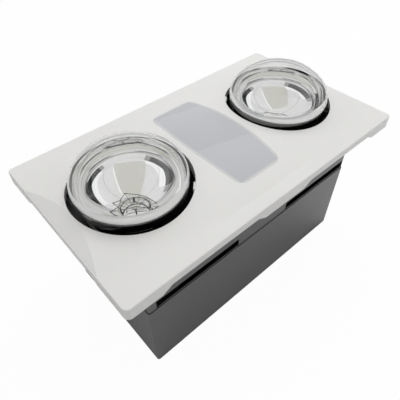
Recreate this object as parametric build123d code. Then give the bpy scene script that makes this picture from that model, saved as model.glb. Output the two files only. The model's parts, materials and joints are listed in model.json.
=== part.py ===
from build123d import *
from math import acos, asin, atan2, cos, degrees, pi, radians, sin, sqrt, tan
import os

# Bathroom ceiling heater: two reflector heat lamps, a light panel and an exhaust fan in a steel box.
# Millimetres. Z = 0 is the ceiling plane, +Z points into the room, and the box is sunk towards -Z.
# X runs along the unit, the lamps stand at -X and +X, and the exhaust duct leaves towards +Y.

# Driving dimensions of the whole unit. The lamps and the light panel set its length and width.
lamp_radius = 62.5
lamp_gap = 5.5
lens_half_middle = 38.0
lens_web = 9.7
lamp_end_tuck = 7.7
box_side_room = 21.4
fascia_overhang_x = 32.5
fascia_overhang_y = 26.1
holder_bottom_drop = 128.0
bracket_rise = 59.1
seam_depth = 69.4
box_sheet = 0.9
duct_outer_radius = 49.0

lamp_hole_radius = lamp_radius + lamp_gap
lamp_spacing = 2 * (lens_half_middle + lens_web + lamp_hole_radius)
box_length = lamp_spacing + 2 * (lamp_radius - lamp_end_tuck)
box_width = 2 * (lamp_hole_radius + box_side_room)
box_depth = holder_bottom_drop + bracket_rise + box_sheet
fascia_length = box_length + 2 * fascia_overhang_x
fascia_width = box_width + 2 * fascia_overhang_y

# Values shared by many pieces
overrun = 5.0
running_gap = 0.3
slip_gap = 0.1
shaft_gap = 0.04
full_turn = 360.0
half_turn = 180.0
quarter_turn = 90.0

# Steel box and its collar
box_corner = 3.0
box_base_bend = 2.2
frame_sheet = 0.9
frame_overlap = 9.0
flange_width = 20.0
flange_corner = 6.0
slot_height = 11.0
slot_rise = 2.2
slot_length = 121.0
slot_left_inset = 10.5
slot_right_inset = 2.0
slot_cut_depth = 2.5
slot_notch_width = 3.2
slot_notch_depth = 2.0
ceiling_hole_radius = 2.6
ceiling_hole_inset = 20.5
ceiling_hole_pitch_x = box_length - 2 * ceiling_hole_inset

# Fascia
skirt_depth = 15.4
fascia_wall = 2.4
fascia_corner = 6.0
fascia_edge_round = 1.4
dome_rise = 11.4
dome_side_land = 16.0
dome_half_width = fascia_width / 2 - dome_side_land
dome_end_rise = 5.8
dome_root = 4.0
bevel_angle = 27.0
collar_wall = 2.0
collar_bottom = 14.0
scallop_depth = 6.2
scallop_ramp = 11.0
scallop_round = 6.0
long_scallop_flat = 112.0
long_scallop_land = 38.0
long_scallop_centre = fascia_length / 2 - long_scallop_land - scallop_ramp - long_scallop_flat / 2
short_scallop_land = 45.5
short_scallop_flat = fascia_width - 2 * (short_scallop_land + scallop_ramp)
gusset_thickness = 1.6
gusset_leg = 8.0
seat_post_radius = 3.5
seat_post_inset_x = 14.5
seat_post_inset_y = 7.4
seat_post_x = box_length / 2 - seat_post_inset_x
seat_post_y = box_width / 2 - seat_post_inset_y
arm_width = 11.0
arm_thickness = 2.4
arm_angle = 45.0
arm_top_drop = 2.0
arm_bottom = 23.0
arm_groove_depth = 0.8
arm_groove_height = 4.0
arm_groove_rise = 4.0

# Light panel
lens_bow = 7.0
lens_half_end = lens_half_middle - lens_bow
lens_half_length = 79.0
lens_corner = 12.0
lens_thickness = 2.0
lens_gap = 0.25
lens_ledge = 1.6
light_box_wall = 1.6
light_box_bottom = 10.5
led_tray_spread = 2.0
led_tray_end_inset = 7.0
led_tray_half_width = lens_half_end + led_tray_spread
led_tray_half_length = lens_half_length - led_tray_end_inset
led_tray_height = 7.5
led_tray_sheet = 1.0
led_board_thickness = 1.6
led_board_margin = 3.0
led_chip_size = 3.5
led_chip_height = 0.9
led_chip_columns = 4
led_chip_rows = 8
driver_length = 92.0
driver_width = 38.0
driver_height = 24.0
driver_corner = 3.0
driver_foot = 8.0
driver_foot_thickness = 2.0

# Heat shield
shield_sheet = 0.8
shield_lap_x = 7.5
shield_lap_y = 6.6
shield_half_length = box_length / 2 + shield_lap_x
shield_half_width = box_width / 2 + shield_lap_y
shield_corner = 8.0
bowl_curve_radius = 38.0
bowl_throat_radius = 50.0
bowl_throat_angle = 71.6
bowl_depth = 25.5
bowl_end_gap = 0.8
bowl_end_lap = 1.5
bowl_end_reach = box_length / 2 + bowl_end_lap
arm_slot_length = 15.0
arm_slot_width = 5.0
shield_screw_x = 110.0
shield_screw_inset = 3.8

# Heat lamp
rim_height = 28.0
cap_rise = 41.7
front_round = 28.0
reflector_depth = 45.0
reflector_round = 34.0
mouth_radius = 18.0
mouth_blend = 4.5
neck_radius = 12.3
neck_taper_drop = 72.0
neck_bottom_drop = 86.0
neck_blend = 12.0
glass_wall = 1.2
mirror_gap = 0.15
mirror_wall = 0.35
mirror_top_rise = 10.0
mirror_bottom_drop = 34.0
screw_cap_radius = 13.1
screw_cap_wall = 0.5
screw_cap_top_drop = 79.0
screw_cap_bottom_drop = 103.0
cap_insulator_drop = 105.5
cap_contact_radius = 4.5
cap_contact_drop = 107.5
stem_radius = 5.0
stem_top_drop = 34.0
stem_tip_radius = 2.4
deflector_radius = 11.5
deflector_thickness = 0.5
deflector_drop = 44.0
filament_drop = 12.0
filament_ring_radius = 13.0
filament_wire_radius = 0.9
filament_opening = 50.0
support_wire_radius = 0.45
support_count = 6
support_fan = 250.0
support_foot_radius = 1.6

# Lampholder
holder_radius = 21.5
holder_mouth_radius = 17.5
holder_top_drop = 82.5
holder_taper_height = 14.0
holder_shell_radius = 14.0
holder_shell_wall = 0.6
holder_shell_top_drop = 83.5
holder_well_drop = 110.0
holder_tongue_width = 7.0
holder_tongue_thickness = 0.8
bracket_sheet = 1.2
bracket_width = 40.0
bracket_half_span = 24.0
bracket_foot = 9.0
bracket_bend = 2.0

# Fan. The scroll fills the room between the two lamps' brackets, and the wheel is sized by it.
blade_depth = 10.0
scroll_cutoff_gap = 8.0
scroll_step = 6.0
scroll_sheet = 1.0
scroll_top_gap = 12.1
scroll_side_gap = 3.5
scroll_end_gap = 3.7
scroll_far_gap = 9.7
bracket_reach = bracket_half_span + bracket_foot
scroll_room = lamp_spacing - 2 * bracket_reach - scroll_end_gap - scroll_far_gap - 2 * scroll_sheet
scroll_first_radius = (scroll_room - 3 * scroll_step) / 2
wheel_radius = scroll_first_radius - scroll_cutoff_gap
wheel_inner_radius = wheel_radius - blade_depth
scroll_tongue_x = 12.0
inlet_step = 5.0
inlet_radius = wheel_inner_radius - inlet_step
inlet_lip_height = 5.0
inlet_lip_flare = 3.0
wheel_bottom_gap = 9.0
wheel_top_gap = 8.5
blade_count = 32
blade_thickness = 1.2
blade_entry_angle = 55.0
blade_exit_angle = 35.0
ring_height = 3.0
ring_width = 4.0
hub_radius = 7.0
hub_height = 17.0
motor_radius = 32.0
motor_top_room = 50.0
motor_edge = 3.0
motor_boss_radius = 9.0
motor_boss_height = 3.0
motor_foot_step = 10.0
motor_foot_radius = motor_radius + motor_foot_step
motor_foot_thickness = 1.5
motor_vent_count = 12
motor_vent_width = 3.0
motor_vent_share = 0.36
cone_room = 5.0
cone_top_radius = motor_radius + cone_room
cone_wall = 1.6
cone_drop = 3.0
shaft_radius = 3.0
shaft_foot_gap = 18.0
shaft_nut_radius = 5.0
shaft_nut_height = 4.0
mount_circle_radius = motor_radius + motor_foot_step / 2
mount_count = 3
mount_radius = 4.5
mount_height = 5.0
mount_bore_radius = 2.2

# Duct outlet
spigot_plate_border = 4.0
spigot_plate_half = duct_outer_radius + spigot_plate_border
spigot_plate_thickness = 2.5
spigot_plate_corner = 6.0
spigot_wall = 2.0
spigot_length = 62.0
spigot_base_gap = 2.0
spigot_drop = box_depth - spigot_plate_half - spigot_base_gap
outlet_inset = 1.0
stop_lip_width = 2.5
stop_lip_thickness = 2.0
damper_pin_radius = 1.5
damper_setback = 6.5
flap_thickness = 1.5
flap_wall_gap = 0.9
flap_hinge_gap = 3.7
knuckle_radius = 3.0
knuckle_height = 11.0
knuckle_gap = 1.0
knuckle_pair_pitch = 46.0

# Electrical pieces
terminal_length = 56.0
terminal_width = 20.0
terminal_height = 16.0
terminal_ways = 5
terminal_hole_radius = 2.2
terminal_screw_radius = 2.0
terminal_drop = 150.0
terminal_foot_height = 3.0
terminal_well_depth = 3.5
cable_drop = 110.0
cable_y = 38.0
grommet_bore_radius = 4.2
grommet_outer_radius = 8.5
grommet_neck_radius = 6.4
grommet_flange = 2.0
clamp_length = 32.0
clamp_width = 12.0
clamp_thickness = 7.0
clamp_wall_gap = 12.0
clamp_ear_width = 6.0
cutout_radius = 8.0
cutout_height = 6.0
cutout_foot_half = 12.0
cutout_foot_width = 9.0
cutout_foot_thickness = 1.0
cutout_gap = 12.0
cutout_y = driver_length / 2 + driver_foot + cutout_gap

# Fasteners
screw_head_radius = 3.6
screw_head_height = 2.2
screw_shank_radius = 1.9
screw_shank_length = 6.0
rivet_head_radius = 3.0
rivet_head_height = 1.1
rivet_shank_radius = 1.6
rivet_tail_length = 2.4
rivet_end_y = 55.0
rivet_side_inset = 50.5
hinge_foot_margin = 0.6
clip_strip = 0.6
clip_width = 10.0
clip_foot_length = 9.0
clip_set_back = 12.0
clip_toe_length = 6.0
clip_bend_rise = 5.0

# Places that follow from the sizes above
lamp_centres = (-lamp_spacing / 2, lamp_spacing / 2)
sides = ("left", "right")
plate_top = skirt_depth
cross_radius = (dome_half_width**2 + dome_rise**2) / (2 * dome_rise)
long_drop = dome_rise - dome_end_rise
long_radius = ((fascia_length / 2) ** 2 + long_drop**2) / (2 * long_drop)
skin_high = plate_top + dome_rise + overrun
box_floor = -box_depth + box_sheet
frame_half_length = box_length / 2 - box_sheet - slip_gap
frame_half_width = box_width / 2 - box_sheet - slip_gap
frame_low = -seam_depth - frame_overlap
slot_half = slot_length / 2
slot_reach = frame_half_length - slot_half
slot_centres = (slot_left_inset - slot_reach, slot_reach - slot_right_inset)
shield_low = frame_sheet
shield_high = shield_low + shield_sheet
flange_half_width = frame_half_width + flange_width
ceiling_hole_y = (shield_half_width + flange_half_width) / 2
scroll_low = box_floor
scroll_top = frame_low - scroll_top_gap
scroll_height = scroll_top - scroll_low
motor_height = scroll_height - motor_top_room
motor_vent_height = motor_height * motor_vent_share
shaft_sunk = motor_height - shaft_foot_gap
fan_x = lamp_centres[0] + bracket_reach + scroll_end_gap + scroll_sheet + scroll_first_radius
fan_y = scroll_side_gap + scroll_sheet + scroll_first_radius + scroll_step - box_width / 2 + box_sheet
scroll_right = fan_x + scroll_first_radius + 3 * scroll_step
spigot_x = fan_x + (scroll_tongue_x + scroll_first_radius + 3 * scroll_step) / 2
wall_outside = box_width / 2
wall_inside = wall_outside - box_sheet
end_inside = box_length / 2 - box_sheet
duct_inner_radius = duct_outer_radius - spigot_wall
damper_y = wall_outside + spigot_plate_thickness + damper_setback
wheel_low = scroll_low + wheel_bottom_gap
wheel_high = scroll_top - wheel_top_gap
motor_low = scroll_low + scroll_sheet + mount_height


# A solid between two heights, with a rounded rectangular outline
def slab(length, width, low, high, corner=0.0, x=0.0, y=0.0):
    outline = RectangleRounded(length, width, corner) if corner else Rectangle(length, width)
    return extrude(Plane.XY.offset(low) * Pos(x, y) * outline, amount=high - low)


# An upright round bar or tube between two heights
def bar(radius, low, high, x=0.0, y=0.0, bore=0.0):
    outline = Circle(radius) - Circle(bore) if bore else Circle(radius)
    return extrude(Plane.XY.offset(low) * Pos(x, y) * outline, amount=high - low)


# A round bar along Y between two places
def bar_along_y(radius, start, end, x, z):
    base = Plane(origin=(x, start, z), z_dir=(0, 1, 0))
    return extrude(base * Circle(radius), amount=end - start)


# A round bar along X between two places
def bar_along_x(radius, start, end, y, z):
    base = Plane(origin=(start, y, z), z_dir=(1, 0, 0))
    return extrude(base * Circle(radius), amount=end - start)


# A flat face in the plane that stands at one Y, drawn with X and Z
def side_face(points, y=0.0):
    return make_face(Polyline([(px, y, pz) for px, pz in points], close=True))


# A half profile of radius and height, turned all the way round a lamp, motor or screw axis
def turned(points, x=0.0, y=0.0):
    return Pos(x, y) * revolve(side_face(points), Axis.Z, full_turn)


def turn_about(solid, angle, x=0.0, y=0.0):
    return solid.rotate(Axis((x, y, 0), (0, 0, 1)), angle)


# Fascia: one skin, drawn twice, the second time smaller all round by the wall.
# The bulge is crowned both ways: an arc across the unit, carried along a flatter arc.
def dome(inset):
    crown = plate_top + dome_rise - inset
    radius = cross_radius - inset
    turn_radius = long_radius - inset
    base = plate_top - dome_root - inset
    half = sqrt(radius**2 - (radius - crown + base) ** 2)
    arc = ThreePointArc((0, -half, base), (0, 0, crown), (0, half, base))
    section = make_face([arc, Line(arc @ 1, arc @ 0)])
    reach = degrees(asin((fascia_length / 2 + overrun) / turn_radius))
    axis = Axis((0, 0, crown - turn_radius), (0, 1, 0))
    return loft([section.rotate(axis, angle) for angle in (-reach, 0, reach)])


# What the sloping bevel takes off the bulge at one short end
def bevel_cutter(side, inset):
    edge = fascia_length / 2 - fascia_edge_round
    level = plate_top - inset / cos(radians(bevel_angle))
    reach = 2 * dome_rise / tan(radians(bevel_angle))
    out_drop = overrun * tan(radians(bevel_angle))
    in_rise = reach * tan(radians(bevel_angle))
    points = [
        (side * (edge + overrun), level - out_drop),
        (side * (edge - reach), level + in_rise),
        (side * (edge + overrun), level + in_rise),
    ]
    face = side_face(points, -fascia_width / 2)
    return extrude(face, amount=fascia_width, dir=(0, 1, 0))


def fascia_block(inset):
    low = -overrun if inset else 0.0
    length, width = fascia_length - 2 * inset, fascia_width - 2 * inset
    plate = slab(length, width, low, plate_top - inset, fascia_corner - inset)
    if not inset:
        plate = fillet(plate.faces().sort_by(Axis.Z)[-1].edges(), fascia_edge_round)
    trim = 2 * fascia_edge_round
    corner = fascia_corner - inset
    bulge = dome(inset) & slab(length - trim, width - trim, low, skin_high, corner)
    for side in (-1, 1):
        bulge = bulge - bevel_cutter(side, inset)
    return plate + bulge


# Outline of the light panel: straight short ends, long sides bowed outwards
def lens_outline(grow=0.0):
    end, middle = lens_half_end + grow, lens_half_middle + grow
    length = lens_half_length + grow
    right = ThreePointArc((end, -length), (middle, 0), (end, length))
    left = ThreePointArc((-end, length), (-middle, 0), (-end, -length))
    top = Line((end, length), (-end, length))
    bottom = Line((-end, -length), (end, -length))
    face = make_face([right, top, left, bottom])
    return fillet(face.vertices(), lens_corner + grow)


def lens_prism(grow, low, high):
    return extrude(Plane.XY.offset(low) * lens_outline(grow), amount=high - low)


# One scallop of the skirt, as a cutter along X, centred at x
def scallop(flat, x, reach):
    half = flat / 2
    foot = half + scallop_ramp
    below = scallop_ramp * overrun / scallop_depth
    points = [
        (x - foot - below, -overrun),
        (x - half, scallop_depth),
        (x + half, scallop_depth),
        (x + foot + below, -overrun),
    ]
    face = side_face(points, -reach)
    top = [v for v in face.vertices() if v.Z > 0]
    face = fillet(top, scallop_round)
    return extrude(face, amount=2 * reach, dir=(0, 1, 0))


def rim_level(x, y):
    return plate_top + dome_rise - x**2 / (2 * long_radius) - y**2 / (2 * cross_radius)


# A snap arm, drawn at the lamp hole on the axis of its lamp and turned to its place
def snap_arm(x, angle):
    inner = lamp_hole_radius - arm_thickness
    outer = lamp_hole_radius + slip_gap
    place = lamp_hole_radius * cos(radians(angle))
    across = lamp_hole_radius * sin(radians(angle))
    high = rim_level(abs(x) - abs(place), across) - arm_top_drop
    groove_low = -arm_bottom + arm_groove_rise
    groove_high = groove_low + arm_groove_height
    points = [
        (inner, high),
        (outer, high),
        (outer, groove_high + arm_groove_depth),
        (outer - arm_groove_depth, groove_high),
        (outer - arm_groove_depth, groove_low),
        (outer, groove_low - arm_groove_depth),
        (outer - arm_groove_depth, -arm_bottom),
        (inner, -arm_bottom),
    ]
    face = side_face(points, -arm_width / 2)
    arm = extrude(face, amount=arm_width, dir=(0, 1, 0))
    return Pos(x, 0) * turn_about(arm, angle)


def gusset(x, y, facing):
    root = plate_top - fascia_wall
    reach = gusset_leg + fascia_wall / 2
    points = [(0, 0), (reach, 0), (0, -reach)]
    tip = make_face(Polyline([(0, -facing * a, root + b + fascia_wall / 2) for a, b in points], close=True))
    rib = extrude(tip, amount=gusset_thickness / 2, dir=(1, 0, 0), both=True)
    return Pos(x, y) * rib


def fascia():
    cavity = fascia_block(fascia_wall)
    for x in lamp_centres:
        cavity -= bar(lamp_hole_radius + collar_wall, collar_bottom, skin_high, x)
    cavity -= lens_prism(light_box_wall, light_box_bottom, skin_high)
    inner_y = fascia_width / 2 - fascia_wall / 2
    for facing in (-1, 1):
        for x in (-long_scallop_centre, 0, long_scallop_centre):
            cavity -= gusset(x, facing * inner_y, facing)
    for x in (-seat_post_x, seat_post_x):
        for y in (-seat_post_y, seat_post_y):
            cavity -= bar(seat_post_radius, shield_high + running_gap, skin_high, x, y)
    skin = fascia_block(0)
    for x in lamp_centres:
        skin -= bar(lamp_hole_radius, -overrun, skin_high, x)
    skin -= lens_prism(-lens_ledge, -overrun, skin_high)
    skin -= lens_prism(0, 0, skin_high) - fascia_block(lens_thickness + slip_gap)
    skin -= cavity
    for x in (-long_scallop_centre, long_scallop_centre):
        skin -= scallop(long_scallop_flat, x, fascia_width / 2 + overrun)
    skin -= turn_about(scallop(short_scallop_flat, 0, fascia_length / 2 + overrun), quarter_turn)
    skin += snap_arm(lamp_centres[0], -arm_angle)
    skin += snap_arm(lamp_centres[1], half_turn - arm_angle)
    return skin


def light_lens():
    panel = lens_prism(-lens_gap, 0, skin_high)
    return (panel & fascia_block(0)) - fascia_block(lens_thickness)


# Steel box: an open tub, with the outlet at +Y and the cable hole at +X
def housing_box():
    tub = slab(box_length, box_width, -box_depth, -seam_depth, box_corner)
    tub = fillet(tub.faces().sort_by(Axis.Z)[0].edges(), box_base_bend)
    inside = slab(
        box_length - 2 * box_sheet,
        box_width - 2 * box_sheet,
        box_floor,
        overrun,
        box_corner - box_sheet,
    )
    inside = fillet(inside.faces().sort_by(Axis.Z)[0].edges(), box_base_bend - box_sheet)
    tub -= inside
    tub -= outlet_cutter(wall_inside - overrun, wall_outside + overrun)
    tub -= bar_along_x(grommet_neck_radius, end_inside - overrun, end_inside + overrun, cable_y, -cable_drop)
    for x, y, direction in rivet_places():
        tub -= rivet_hole(x, y, direction)
    for x, y in screw_places_base():
        tub -= bar(screw_shank_radius, -box_depth - overrun, box_floor + overrun, x, y)
    for x, z in spigot_screw_places():
        tub -= bar_along_y(screw_shank_radius, wall_inside - overrun, wall_outside + overrun, x, z)
    for y in terminal_screw_places():
        tub -= bar_along_x(screw_shank_radius, end_inside - overrun, end_inside + overrun, y, -terminal_drop)
    return tub


# The rectangular way through the rear wall, as wide and high as the scroll's outlet
def outlet_cutter(start, end):
    half = (scroll_right - fan_x - scroll_tongue_x) / 2 - outlet_inset
    low = scroll_low + scroll_sheet + outlet_inset
    high = scroll_top - scroll_sheet - outlet_inset
    return Pos(spigot_x, (start + end) / 2, (low + high) / 2) * Box(2 * half, end - start, high - low)


def mounting_frame():
    length, width = 2 * frame_half_length, 2 * frame_half_width
    wall = slab(length, width, frame_low, frame_sheet, box_corner - box_sheet)
    flange_length = length + 2 * flange_width
    flange = slab(flange_length, width + 2 * flange_width, 0, frame_sheet, flange_corner)
    inside = slab(
        length - 2 * frame_sheet,
        width - 2 * frame_sheet,
        frame_low - overrun,
        frame_sheet + overrun,
        box_corner - box_sheet - frame_sheet,
    )
    frame = wall + flange - inside
    slot_low = -seam_depth + slot_rise
    for x in slot_centres:
        for face in (-1, 1):
            place = Pos(x, face * (frame_half_width + overrun - slot_cut_depth), slot_low + slot_height / 2)
            frame -= place * Box(slot_length, 2 * overrun, slot_height)
        notch_x = x - slot_length / 2 + slot_notch_width / 2
        notch = [
            (notch_x - slot_notch_width / 2, slot_low + slip_gap),
            (notch_x + slot_notch_width / 2, slot_low + slip_gap),
            (notch_x, slot_low - slot_notch_depth),
        ]
        frame -= extrude(side_face(notch, -width), amount=2 * width, dir=(0, 1, 0))
    for x, y in ceiling_places():
        frame -= bar(ceiling_hole_radius, -overrun, overrun, x, y)
    for x, y in shield_screw_places():
        frame -= bar(screw_shank_radius, -overrun, overrun, x, y)
    for x, y, direction in rivet_places():
        frame -= rivet_hole(x, y, direction)
    return frame


def ceiling_places():
    half = ceiling_hole_pitch_x / 2
    return [(x, y) for x in (-half, half) for y in (-ceiling_hole_y, ceiling_hole_y)]


def shield_screw_places():
    y = shield_half_width - shield_screw_inset
    return [(x, side * y) for x in (-shield_screw_x, shield_screw_x) for side in (-1, 1)]


# Blind rivets through box and collar: two at each short end, two at the rear
def rivet_places():
    ends = [(side, y, "x") for side in (-1, 1) for y in (-rivet_end_y, rivet_end_y)]
    side_x = box_length / 2 - rivet_side_inset
    rear = [(x, 1, "y") for x in (-side_x, side_x)]
    return ends + rear


def rivet_level():
    return -seam_depth - frame_overlap / 2


def rivet_hole(x, y, direction):
    reach = rivet_tail_length + overrun
    if direction == "x":
        wall = x * box_length / 2
        return bar_along_x(rivet_shank_radius, wall - reach, wall + reach, y, rivet_level())
    return bar_along_y(rivet_shank_radius, wall_outside - reach, wall_outside + reach, x, rivet_level())


# A rivet with its axis along +Z and the wall's outside at Z = 0
def rivet():
    points = [
        (0, rivet_head_height),
        (rivet_head_radius / 2, rivet_head_height),
        (rivet_head_radius, 0),
        (rivet_shank_radius, 0),
        (rivet_shank_radius, -rivet_tail_length),
        (0, -rivet_tail_length),
    ]
    return turned(points)


# A pan head screw with its axis along +Z and its head seated at Z = 0
def screw(length=screw_shank_length):
    points = [
        (0, screw_head_height),
        (screw_head_radius / 2, screw_head_height),
        (screw_head_radius, screw_head_height / 2),
        (screw_head_radius, 0),
        (screw_shank_radius - slip_gap, 0),
        (screw_shank_radius - slip_gap, -length),
        (0, -length),
    ]
    return turned(points)


def frame_rivets():
    solids = []
    for x, y, direction in rivet_places():
        if direction == "x":
            place = Plane(origin=(x * box_length / 2, y, rivet_level()), z_dir=(x, 0, 0))
        else:
            place = Plane(origin=(x, wall_outside, rivet_level()), z_dir=(0, 1, 0))
        solids.append(place * rivet())
    return solids


def shield_screws():
    return [Pos(x, y, shield_high) * screw() for x, y in shield_screw_places()]


# Heat shield: black plate with a bowl round each lamp
def bowl_centre():
    across = bowl_throat_radius - bowl_curve_radius * cos(radians(bowl_throat_angle))
    up = shield_high - bowl_depth + bowl_curve_radius * sin(radians(bowl_throat_angle))
    return across, up


def bowl_mouth(radius):
    across, up = bowl_centre()
    return across + sqrt(radius**2 - (up - shield_high) ** 2)


def bowl_outline(radius, high):
    across, up = bowl_centre()
    start = -degrees(asin((up - high) / radius))
    end = -bowl_throat_angle
    return [
        (across + radius * cos(radians(a)), up + radius * sin(radians(a)))
        for a in (start, (start + end) / 2, end)
    ]


def bowl(x):
    inner = bowl_outline(bowl_curve_radius, shield_high)
    outer = bowl_outline(bowl_curve_radius + shield_sheet, shield_high)
    lift = [[(px, 0, pz) for px, pz in points] for points in (inner, outer)]
    edges = [
        ThreePointArc(*lift[0]),
        Line(lift[0][2], lift[1][2]),
        ThreePointArc(*lift[1]),
        Line(lift[1][0], lift[0][0]),
    ]
    return Pos(x, 0) * revolve(make_face(edges), Axis.Z, full_turn)


# The slot in the bowl that a snap arm passes
def arm_slot(x, angle):
    middle = lamp_hole_radius - arm_thickness / 2
    cutter = Pos(middle, 0, -bowl_depth) * Box(arm_slot_width, arm_slot_length, 2 * bowl_depth)
    return Pos(x, 0) * turn_about(cutter, angle)


def arm_places():
    return [(lamp_centres[0], -arm_angle), (lamp_centres[1], half_turn - arm_angle)]


def heat_shield():
    plate = slab(2 * shield_half_length, 2 * shield_half_width, shield_low, shield_high, shield_corner)
    opening = slab(2 * bowl_end_reach, 2 * shield_half_width, -overrun, overrun)
    room_half = frame_half_length - frame_sheet - bowl_end_gap
    room = slab(2 * room_half, 2 * shield_half_width, -2 * bowl_depth, overrun)
    for x in lamp_centres:
        plate -= opening & bar(bowl_mouth(bowl_curve_radius), -overrun, overrun, x)
    for x in lamp_centres:
        plate += room & bowl(x)
    for x, angle in arm_places():
        plate -= arm_slot(x, angle)
    for x, y in shield_screw_places():
        plate -= bar(screw_shank_radius, -overrun, overrun, x, y)
    return plate


# Spring clip under the shield: a bent strip that presses on a snap arm's groove
def fascia_clips():
    solids = []
    for x, angle in arm_places():
        face_radius = lamp_hole_radius + slip_gap + running_gap
        toe_low = -arm_bottom + arm_groove_rise + clip_strip
        foot_near = bowl_mouth(bowl_curve_radius) + shield_sheet + clip_set_back
        points = [
            (foot_near + clip_foot_length, shield_low - clip_strip / 2),
            (foot_near, shield_low - clip_strip / 2),
            (foot_near - clip_strip, toe_low - clip_bend_rise),
            (face_radius + clip_strip / 2, toe_low + clip_strip),
            (foot_near - clip_toe_length, toe_low + clip_toe_length),
        ]
        path = Polyline([(px, pz) for px, pz in points])
        strip = trace(path, clip_strip)
        solid = extrude(Plane.XZ * strip, amount=clip_width / 2, both=True)
        solids.append(Pos(x, 0) * turn_about(solid, angle))
    return solids


# Two arcs tangent to each other, a flat crown on the lamp's axis and a tighter round out to the rim
def rim_arcs(rise, rounding):
    crown = (lamp_radius**2 + rise**2 - 2 * lamp_radius * rounding) / (2 * (rise - rounding))
    meet = atan2(lamp_radius - rounding, crown - rise)
    return crown, meet


# Heat lamp. Its outline is drawn smaller by an inset for the glass's inside and for the lining.
# Front and reflector are each a crown and a round, and the reflector opens into a tapering neck.
def lamp_outline(inset):
    crown, meet = rim_arcs(cap_rise, front_round)
    base, turn = rim_arcs(reflector_depth, reflector_round)
    side = pi / 2
    bottom = -neck_bottom_drop + inset
    mouth = asin((mouth_radius - inset) / (base - inset))

    def on_front(centre_x, centre_z, radius, lean):
        return centre_x + (radius - inset) * sin(lean), rim_height + centre_z + (radius - inset) * cos(lean)

    def on_reflector(centre_x, centre_z, radius, lean):
        return centre_x + (radius - inset) * sin(lean), rim_height - centre_z - (radius - inset) * cos(lean)

    crown_points = [on_front(0, cap_rise - crown, crown, lean) for lean in (0, meet / 2, meet)]
    front_leans = (meet, (meet + side) / 2, side)
    front_points = [on_front(lamp_radius - front_round, 0, front_round, lean) for lean in front_leans]
    round_leans = (side, (side + turn) / 2, turn)
    round_points = [
        on_reflector(lamp_radius - reflector_round, 0, reflector_round, lean) for lean in round_leans
    ]
    base_leans = (turn, (turn + mouth) / 2, mouth)
    base_points = [on_reflector(0, reflector_depth - base, base, lean) for lean in base_leans]
    neck_points = [
        base_points[2],
        (neck_radius - inset, -neck_taper_drop),
        (neck_radius - inset, bottom),
        (0, bottom),
        crown_points[0],
    ]
    arcs = [ThreePointArc(*points) for points in (crown_points, front_points, round_points, base_points)]
    face = make_face(arcs + [Polyline(neck_points)])
    for height, blend in ((base_points[2][1], mouth_blend), (-neck_taper_drop, neck_blend)):
        bend = [v for v in face.vertices() if v.X > slip_gap and abs(v.Y - height) < slip_gap]
        face = fillet(bend, blend + inset)
    return face


def lamp_form(inset, x):
    return Pos(x, 0) * revolve(Plane.XZ * lamp_outline(inset), Axis.Z, full_turn)


def lamp_glass(x):
    stem_hole = Pos(0, -neck_bottom_drop) * Rectangle(2 * stem_radius + 2 * slip_gap, 2 * overrun)
    wall = lamp_outline(0) - lamp_outline(glass_wall) - stem_hole
    return Pos(x, 0) * revolve(Plane.XZ * wall, Axis.Z, full_turn)


def lamp_mirror(x):
    outer = glass_wall + mirror_gap
    lining = lamp_form(outer, x) - lamp_form(outer + mirror_wall, x)
    reach = 2 * lamp_radius
    high, low = rim_height + mirror_top_rise, -mirror_bottom_drop
    return lining & slab(reach, reach, low, high, 0, x)


def lamp_cap(x):
    inner = screw_cap_radius - screw_cap_wall
    points = [
        (inner, -screw_cap_top_drop),
        (screw_cap_radius, -screw_cap_top_drop),
        (screw_cap_radius, -screw_cap_bottom_drop),
        (cap_contact_radius, -cap_insulator_drop),
        (cap_contact_radius, -cap_contact_drop),
        (0, -cap_contact_drop),
        (0, -neck_bottom_drop - slip_gap),
        (inner, -neck_bottom_drop - slip_gap),
    ]
    return turned(points, x)


def lamp_stem(x):
    foot = -neck_bottom_drop
    points = [
        (0, -stem_top_drop),
        (stem_tip_radius, -stem_top_drop),
        (stem_tip_radius, -deflector_drop + deflector_thickness),
        (deflector_radius, -deflector_drop + deflector_thickness),
        (deflector_radius, -deflector_drop),
        (stem_radius, -deflector_drop),
        (stem_radius, foot),
        (0, foot),
    ]
    return turned(points, x)


def support_angles():
    start = -support_fan / 2
    return [start + support_fan * i / (support_count - 1) for i in range(support_count)]


# Wires that stand up from the stem's tip and fan out to the filament
def lamp_supports(x):
    wires = Part()
    height = stem_top_drop - filament_drop - support_wire_radius
    run = filament_ring_radius - filament_wire_radius - support_wire_radius - slip_gap - support_foot_radius
    lean = degrees(atan2(run, height))
    length = sqrt(run**2 + height**2)
    for angle in support_angles():
        rod = Pos(support_foot_radius, 0, -stem_top_drop + support_wire_radius) * Rot(0, lean, 0)
        wire = rod * bar(support_wire_radius, 0, length)
        wires += turn_about(wire, angle + half_turn)
    wires += bar(support_foot_radius + support_wire_radius, -stem_top_drop, stem_tip_radius - stem_top_drop)
    return Pos(x, 0) * wires


def lamp_filament(x):
    ring = CenterArc((0, 0), filament_ring_radius, filament_opening / 2, full_turn - filament_opening)
    path = Plane.XY.offset(-filament_drop) * ring
    end = Plane(origin=path @ 0, z_dir=path % 0)
    return Pos(x, 0) * sweep(end * Circle(filament_wire_radius), path=path)


# Lampholder: porcelain body with a screw shell, on a hat-shaped bracket
def lampholder(x):
    taper = -holder_top_drop - holder_taper_height
    well = holder_shell_radius + slip_gap
    points = [
        (well, -holder_top_drop),
        (holder_mouth_radius, -holder_top_drop),
        (holder_radius, taper),
        (holder_radius, -holder_bottom_drop),
        (0, -holder_bottom_drop),
        (0, -holder_well_drop),
        (well, -holder_well_drop),
    ]
    return turned(points, x)


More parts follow.
